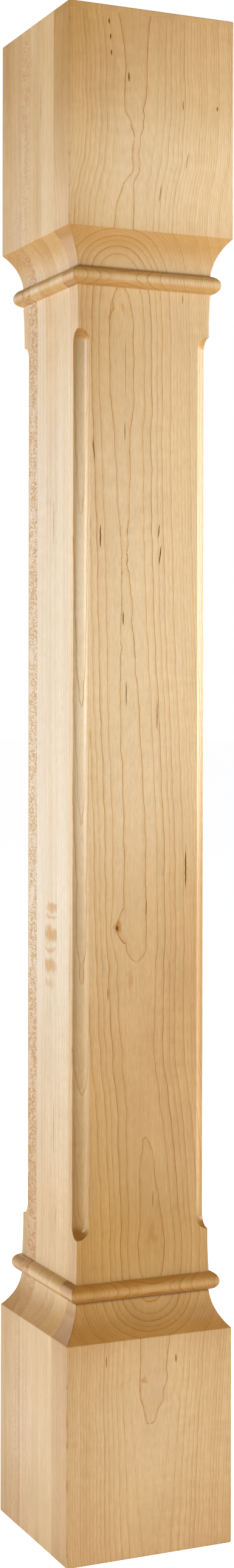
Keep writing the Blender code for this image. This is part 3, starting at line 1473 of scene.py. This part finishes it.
@dataclass
class Board:
    """One board of the post: the stretch of the blank between two glue lines."""

    node: str
    front: float
    back: float
    cut: MapleCut
    smooth_below: float = math.radians(35)
    saw_slack: float = WELD / 10

    def build(self, blank: bpy.types.Mesh) -> bpy.types.Object:
        """Cuts the board out of the blank.

        Args:
            blank: The whole carved post.

        Returns:
            The board's object, at the origin.
        """
        work = bmesh.new()
        work.from_mesh(blank)
        for depth, outwards in ((self.front, -1), (self.back, 1)):
            self.saw(work, depth, outwards)
        bmesh.ops.recalc_face_normals(work, faces=work.faces)
        mesh = bpy.data.meshes.new("carved_" + self.node)
        work.to_mesh(mesh)
        work.free()
        mesh.polygons.foreach_set("use_smooth", [True] * len(mesh.polygons))
        mesh.set_sharp_from_angle(angle=self.smooth_below)
        piece = link_object("carved_" + self.node, mesh)
        weighted = piece.modifiers.new("Flat faces stay flat", "WEIGHTED_NORMAL")
        weighted.keep_sharp = True
        return piece

    def saw(self, work: bmesh.types.BMesh, depth: float, outwards: int) -> None:
        """Saws off what lies beyond a glue line and closes the sawn face.

        Args:
            work: The blank.
            depth: Where the glue line lies.
            outwards: 1 or -1, the side that goes.
        """
        if abs(depth) > PostSizes().half_block - WELD:
            return
        cut = bmesh.ops.bisect_plane(
            work,
            geom=list(work.verts) + list(work.edges) + list(work.faces),
            dist=self.saw_slack,
            plane_co=(0, depth, 0),
            plane_no=(0, outwards, 0),
            clear_outer=True,
        )
        rim = [part for part in cut["geom_cut"] if isinstance(part, bmesh.types.BMEdge)]
        bmesh.ops.holes_fill(work, edges=rim, sides=0)

    def dress(self, piece: bpy.types.Object, shop: GrainShop) -> None:
        """Gives the board its maple and ties it to its node.

        Args:
            piece: The board's object.
            shop: The shared effects.
        """
        piece.data.materials.clear()
        piece.data.materials.append(self.cut.material(shop))
        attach(piece, BODY)
        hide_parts(self.node)
        LOG.info("%s: %d faces", piece.name, len(piece.data.polygons))


# How many rings are worn away at the front face, at each height.
FRONT_EMERGENCE = HeightLine(
    (
        (0, -0.90), (40, -0.56), (80, -0.20), (110, 0.28), (150, 0.53), (191, 0.55), (230, 0.34),
        (290, 0.02), (350, -0.27), (380, -0.08), (412, -0.01), (424, 0.28), (460, 0.33), (585, 0.25),
        (655, 0.11), (703, 0.045), (735, 0.09), (785, 0.18), (825, 0.36), (925, 0.24), (985, 0.0),
        (1010, 0.28), (1045, 0.33), (1079, 1.0),
    ),
    -1.0,
    1.1,
)
# Where the heart lies across the front, in millimetres.
FRONT_HEART_X = HeightLine(
    (
        (0, 0), (80, 0.6), (150, 3.6), (191, 6.5), (260, 3.5), (320, -0.7), (350, -4.3),
        (440, -6.2), (500, -7.2), (560, -9.6), (635, -13), (710, -15.2), (785, -17), (886, -18.3),
        (925, -21.9), (955, -19), (985, -13.7), (1020, -12.5), (1079, -14.5),
    ),
    -25.0,
    10.0,
)
# How pale the boards are, from 0 to 1, as painted sheen together with the wood's own paler stretches,
# what is added for each millimetre to the right, and the painted sheen on the front board's side
# and in its flutes.
FRONT_SHEEN_AND_PALENESS = HeightLine((
    (0, 0.23), (27, 0.27), (75, 0.34), (122, 0.31), (160, 0.15), (205, 0.02), (262, 0.10),
    (350, 0.18), (450, 0.32), (550, 0.56), (650, 0.60), (740, 0.54), (815, 0.44), (872, 0.37),
    (910, 0.38), (955, 0.57), (1015, 0.36), (1057, 0.22), (1079, 0.17),
))
FRONT_RIGHTWARD_PALENESS = HeightLine(
    (
        (0, 0.0002), (122, 0.0004), (205, 0.001), (300, 0.0008), (450, -0.0012), (550, 0.0),
        (650, 0.0008), (740, 0.0016), (815, 0.0026), (872, 0.0036), (955, 0.0028), (1079, 0.002),
    ),
    -0.01,
    0.01,
)
# Painted sheen on the front board's side, by height.
FRONT_SIDE_SHEEN = HeightLine((
    (0, 0.0), (150, 0.0), (195, 0.32), (262, 0.26), (350, 0.28), (450, 0.15), (550, 0.0),
    (650, 0.12), (740, 0.24), (815, 0.26), (872, 0.18), (930, 0.0), (1079, 0.04),
))
# Painted sheen in the front board's flutes, by height.
FRONT_FLUTE_SHEEN = HeightLine((
    (0, 0.0), (210, 0.0), (262, 0.1), (350, 0.13), (430, 0.15), (525, 0.28), (600, 0.42),
    (660, 0.45), (740, 0.3), (815, 0.18), (860, 0.05), (900, 0.0), (1079, 0.0),
))
# Painted sheen on the boards' sides, strongest at mid-height, with the wood's own paler stretches.
LEFT_SHEEN_AND_PALENESS = HeightLine((
    (0, 0.0), (27, 0.02), (75, 0.16), (122, 0.10), (205, 0.05), (262, 0.16), (350, 0.33),
    (450, 0.55), (550, 0.51), (650, 0.47), (740, 0.44), (815, 0.34), (872, 0.20), (955, 0.15),
    (1015, 0.08), (1057, 0.0), (1079, 0.0),
))
THIRD_SHEEN_AND_PALENESS = HeightLine((
    (0, 0.0), (27, 0.0), (75, 0.14), (122, 0.08), (205, 0.08), (262, 0.18), (350, 0.36),
    (450, 0.52), (550, 0.48), (650, 0.44), (740, 0.38), (815, 0.20), (872, 0.02), (930, 0.0),
    (1000, 0.0), (1079, 0.0),
))
# How strongly the rays show.
FOURTH_FLECK = HeightLine(((0, 0.2), (150, 0.15), (200, 0.05), (890, 0.05), (935, 0.45), (1079, 0.6)))
FIFTH_FLECK = HeightLine((
    (0, 0.25), (150, 0.3), (200, 0.95), (550, 1.0), (880, 0.95), (935, 0.25), (1079, 0.1),
))
MARK_DEPTH = 3.0


def front_mark(
    x: float,
    z: float,
    wide: float,
    tall: float,
    strength: float,
    lean: float = 0.0,
    deep: float = MARK_DEPTH,
) -> Mark:
    """Places a mark on the front face.

    Args:
        x: Its place across the front, in millimetres.
        z: Its height, in millimetres.
        wide: Half its width.
        tall: Half its height.
        strength: How strong it is.
        lean: How far it leans to the right for each millimetre up.
        deep: How far it reaches into the wood.

    Returns:
        The mark, on the block's or the shaft's front face.
    """
    sizes = PostSizes()
    on_shaft = sizes.bottom_block < z / MM_PER_METRE < sizes.top_block_foot
    front = sizes.half_shaft if on_shaft else sizes.half_block
    return Mark((x, -front * MM_PER_METRE, z), (wide, deep, tall), strength, lean)


FRONT_MARKS = (
    front_mark(-33.3, 1068, 0.58, 2.0, 1),
    front_mark(-32.2, 1057.5, 0.58, 2.0, 1),
    front_mark(-31.5, 1046.5, 0.58, 2.0, 0.94),
    front_mark(-18.2, 1031, 0.58, 3.5, 1),
    front_mark(23.8, 1015.5, 0.43, 3.5, 0.68),
    front_mark(50.5, 1016, 0.65, 1.6, 0.81),
    front_mark(27, 977, 0.43, 6, 0.47, 0.15),
    front_mark(6, 952, 0.43, 7, 0.54, 0.15),
    front_mark(29.5, 882, 0.36, 3.5, 0.68),
    front_mark(-14.8, 832, 0.25, 21, 0.54),
    front_mark(-15.1, 786, 0.36, 7, 0.74),
    front_mark(-39, 772, 0.5, 8, 0.81, -0.1),
    front_mark(-33.8, 712, 0.54, 8.5, 1),
    front_mark(11.3, 717, 0.43, 5, 0.94, 0.12),
    front_mark(12.3, 700, 0.5, 7, 1, 0.12),
    front_mark(-16.2, 655, 0.58, 5, 0.81),
    front_mark(-13.8, 602, 0.43, 9, 0.81),
    front_mark(10, 587, 0.43, 11, 0.68),
    front_mark(32.7, 478, 0.58, 14, 1),
    front_mark(2, 452, 0.36, 6, 0.68),
    front_mark(-20.5, 438, 1.25, 2.0, 1),
    front_mark(-27.5, 392, 0.43, 5, 0.68),
    front_mark(7.3, 246, 0.43, 6, 0.54),
    front_mark(19.7, 136, 0.6, 3, 0.8),
    front_mark(-33.7, 139, 0.43, 4, 0.68),
)
FRONT_STAINS = (
    front_mark(-20.0, 439, 2.4, 4, 1, deep=4),
    front_mark(-10.7, 400, 2.0, 6, 0.5),
    front_mark(7.3, 222, 2.0, 8, 0.5),
    front_mark(-25.5, 870, 1.1, 6, 0.8),
    front_mark(-16.5, 872, 1.1, 4, 0.5),
    front_mark(-5, 124, 1.6, 2.2, 0.7),
)
THIRD_MARKS = (
    Mark((-50.8, -6.5, 725), (4, 0.7, 16), 0.7),
    Mark((-50.8, -7.9, 292), (4, 0.7, 19), 0.7),
    Mark((-50.8, -12.5, 230), (4, 0.6, 9), 0.5),
    Mark((-63.5, -12, 1019), (4, 0.7, 16), 0.6),
)
THIRD_STAINS = (
    Mark((-50.8, -5, 450), (14, 10, 2.6), 0.9),
    Mark((-50.8, -3, 443), (14, 9, 1.6), 0.7),
    Mark((-50.8, -2, 431), (14, 14, 4.2), 1.0),
    Mark((-50.8, 0, 420), (14, 10, 1.7), 0.7),
    Mark((-50.8, 0, 408), (14, 13, 4.4), 0.9),
    Mark((-50.8, 2, 395), (14, 10, 3.0), 0.45),
)


def board_cuts() -> dict[str, MapleCut]:
    """Chooses each board's cut of maple.

    Returns:
        The cuts by node name, from the front board to the back one.
    """
    return {
        "front_board": MapleCut(
            slot="front_maple",
            pale=(0.50, 0.28, 0.08),
            tan=(0.42, 0.215, 0.05),
            sheen_and_pale_tint=(0.87, 0.69, 0.46),
            sheen_and_paleness=FRONT_SHEEN_AND_PALENESS,
            rightward_paleness=FRONT_RIGHTWARD_PALENESS,
            side_sheen=FRONT_SIDE_SHEEN,
            flute_sheen=FRONT_FLUTE_SHEEN,
            streak=0.08,
            seed=(3.0, 11.0, 5.0),
            heart_x=FRONT_HEART_X,
            heart_y=0.0,
            emergence=FRONT_EMERGENCE,
            shift=0.38,
            line_strength=1.0,
            # Painted shade in the creases, on the front board only.
            crease_shade_reach=1.9,
            sheen_level=0.08,
            varnish=0.45,
            varnish_roughness=0.16,
            marks=FRONT_MARKS,
            knots=(front_mark(-20.5, 438, 9, 17, 0.8, deep=14),),
            swirls=(
                front_mark(-14, 984, 14, 24, 26.0, deep=9),
                front_mark(2, 105, 15, 26, 16.0, deep=9),
            ),
            stains=FRONT_STAINS,
        ),
        "second_board": MapleCut(
            slot="second_maple",
            pale=(0.7, 0.5, 0.275),
            tan=(0.62, 0.42, 0.205),
            sheen_and_paleness=LEFT_SHEEN_AND_PALENESS,
            seed=(41.0, 7.0, 300.0),
            heart_x=steady(4.0),
            heart_y=30.0,
            emergence=HeightLine(((0, 0), (300, 0.6), (480, 0), (680, -4), (1079, -4.6)), -5.0, 1.0),
            pace=215.0,
            line_strength=0.45,
            late_strength=0.6,
        ),
        "third_board": MapleCut(
            slot="third_maple",
            pale=(0.68, 0.48, 0.27),
            tan=(0.58, 0.38, 0.18),
            sheen_and_paleness=THIRD_SHEEN_AND_PALENESS,
            seed=(83.0, 53.0, 120.0),
            gum=(0.42, 0.17, 0.05),
            heart_x=steady(-8.0),
            heart_y=62.0,
            emergence=HeightLine(
                ((0, 0.5), (200, 0), (330, 2), (410, 0.5), (460, 1.5), (700, 0), (1079, 0.4)),
                -1.0,
                3.0,
            ),
            pace=230.0,
            wobble=0.5,
            line_strength=0.45,
            late_strength=0.7,
            marks=THIRD_MARKS,
            stains=THIRD_STAINS,
            swirls=(Mark((-50.8, -2, 428), (25, 14, 26), 16.0),),
        ),
        "fourth_board": MapleCut(
            slot="fourth_maple",
            pale=(0.65, 0.45, 0.25),
            tan=(0.58, 0.38, 0.18),
            sheen_and_paleness=LEFT_SHEEN_AND_PALENESS,
            seed=(19.0, 97.0, 60.0),
            heart_x=steady(-75.0),
            heart_y=-60.0,
            emergence=steady(0.0),
            pace=330.0,
            line_strength=0.15,
            late_strength=0.4,
            fleck=FOURTH_FLECK,
        ),
        "fifth_board": MapleCut(
            slot="fifth_maple",
            pale=(0.6, 0.39, 0.19),
            tan=(0.52, 0.32, 0.14),
            sheen_and_paleness=LEFT_SHEEN_AND_PALENESS,
            seed=(67.0, 29.0, 210.0),
            heart_x=steady(-54.0),
            heart_y=-70.0,
            emergence=steady(0.0),
            pace=360.0,
            line_strength=0.15,
            late_strength=0.4,
            stain=(0.78, 0.57, 0.29),
            fleck=FIFTH_FLECK,
        ),
        "back_board": MapleCut(
            slot="back_maple",
            pale=(0.56, 0.365, 0.17),
            tan=(0.47, 0.28, 0.11),
            sheen_and_pale_tint=(0.86, 0.71, 0.50),
            sheen_and_paleness=LEFT_SHEEN_AND_PALENESS,
            seed=(5.0, 61.0, 400.0),
            heart_x=steady(9.0),
            heart_y=4.0,
            emergence=HeightLine(((0, 0.4), (250, 0.1), (520, 0.6), (800, 0.2), (1079, 0.7)), -1.0, 1.5),
            line_strength=0.6,
        ),
    }


@dataclass
class PostBoards:
    """The six boards, from front to back, with their thicknesses in metres."""

    second: float = 0.0222
    third: float = 0.0222
    fourth: float = 0.0159
    fifth: float = 0.0159
    back: float = 0.0232

    def build(self, blank: bpy.types.Mesh, shop: GrainShop) -> None:
        """Cuts and dresses every board.

        Args:
            blank: The carved post.
            shop: The shared effects.
        """
        half = PostSizes().half_block
        behind = (self.second, self.third, self.fourth, self.fifth, self.back)
        thicknesses = (2 * half - sum(behind), *behind)
        front = -half
        for (node, cut), thick in zip(board_cuts().items(), thicknesses):
            board = Board(node, front, front + thick, cut)
            board.dress(board.build(blank), shop)
            front += thick


# The studio


@dataclass
class StudioFloor:
    """A wide round sheet of pale paper that the post stands on."""

    radius: float = 40.0
    sides: int = 96

    def build(self) -> None:
        """Makes the sheet with its paper."""
        work = bmesh.new()
        bmesh.ops.create_circle(work, cap_ends=True, segments=self.sides, radius=self.radius)
        mesh = bpy.data.meshes.new("studio_floor")
        work.to_mesh(mesh)
        work.free()
        mesh.materials.append(StudioPaper().material())
        link_object("studio_floor", mesh)


@dataclass(frozen=True)
class Softbox:
    """A large soft light."""

    name: str
    at: tuple[float, float, float]
    towards: tuple[float, float, float]
    width: float
    height: float
    power: float

    def build(self) -> None:
        """Hangs the light."""
        lamp = bpy.data.lights.new(self.name, "AREA")
        lamp.shape = "RECTANGLE"
        lamp.size = self.width
        lamp.size_y = self.height
        lamp.energy = self.power
        made = link_object(self.name, lamp)
        way = Vector(self.towards) - Vector(self.at)
        turn = way.to_track_quat("-Z", "Y").to_matrix().to_4x4()
        made.matrix_world = Matrix.Translation(self.at) @ turn
        made.visible_camera = False


@dataclass
class Studio:
    """The plain white studio that the post stands in."""

    sky: float = 0.2
    backdrop: float = 1.0
    softboxes: tuple[Softbox, ...] = (
        Softbox("left_softbox", (-1.46, 0.0, 0.77), (0, 0, 0.68), 0.6, 0.8, 11.1),
        Softbox("right_softbox", (1.6, -1.4, 1.08), (0, 0, 0.66), 1.0, 1.2, 37.5),
        Softbox("right_rim_softbox", (2.0, -0.2, 0.6), (0, 0, 0.6), 0.5, 1.2, 3),
        Softbox("back_left_softbox", (-1.1, 2.1, 0.85), (0, 0, 0.85), 0.7, 1.3, 6),
        Softbox("back_softbox", (0.4, 2.3, 0.85), (0, 0, 0.85), 0.7, 1.3, 15),
        Softbox("top_softbox", (0, 0, 3.4), (0, 0, 1), 0.3, 0.3, 24),
    )

    def build(self) -> None:
        """Sets up the paper, the lights and the even white light all round."""
        StudioFloor().build()
        world = bpy.data.worlds.new("white_studio")
        world.use_nodes = True
        desk = NodeDesk(world.node_tree)
        seen = desk.add("ShaderNodeLightPath").outputs["Is Camera Ray"]
        background = world.node_tree.nodes["Background"]
        background.inputs["Color"].default_value = (1, 1, 1, 1)
        strength = desk.math("MULTIPLY_ADD", seen, self.backdrop - self.sky, self.sky)
        desk.feed(background.inputs["Strength"], strength)
        bpy.context.scene.world = world
        for softbox in self.softboxes:
            softbox.build()


@dataclass
class StudioCamera:
    """The camera that took the picture, found from the post's own corner lines."""

    at: tuple[float, float, float] = (-0.670, -1.506, 0.592)
    heading: float = math.radians(-24.04)
    tilt: float = math.radians(90)
    roll: float = math.radians(0.093)
    lens: float = 52.27
    sensor: float = 36.0
    shift_up: float = -0.0483

    def build(self) -> None:
        """Places the camera and makes it the scene's own."""
        lens = bpy.data.cameras.new("studio_camera")
        lens.lens = self.lens
        lens.sensor_width = self.sensor
        lens.sensor_fit = "AUTO"
        lens.shift_y = self.shift_up
        made = link_object("studio_camera", lens)
        turned = (
            Matrix.Rotation(self.heading, 4, "Z")
            @ Matrix.Rotation(self.tilt, 4, "X")
            @ Matrix.Rotation(self.roll, 4, "Z")
        )
        made.matrix_world = Matrix.Translation(self.at) @ turned
        bpy.context.scene.camera = made


def main() -> None:
    """Builds the camera, the studio and the post's boards."""
    logging.basicConfig(level=logging.INFO, format="%(name)s: %(message)s")
    StudioCamera().build()
    Studio().build()
    bpy.context.scene.view_settings.view_transform = "Standard"
    blank = PostBlank().build()
    PostBoards().build(blank, GrainShop())
    bpy.data.meshes.remove(blank)


if __name__ == "__main__":
    main()
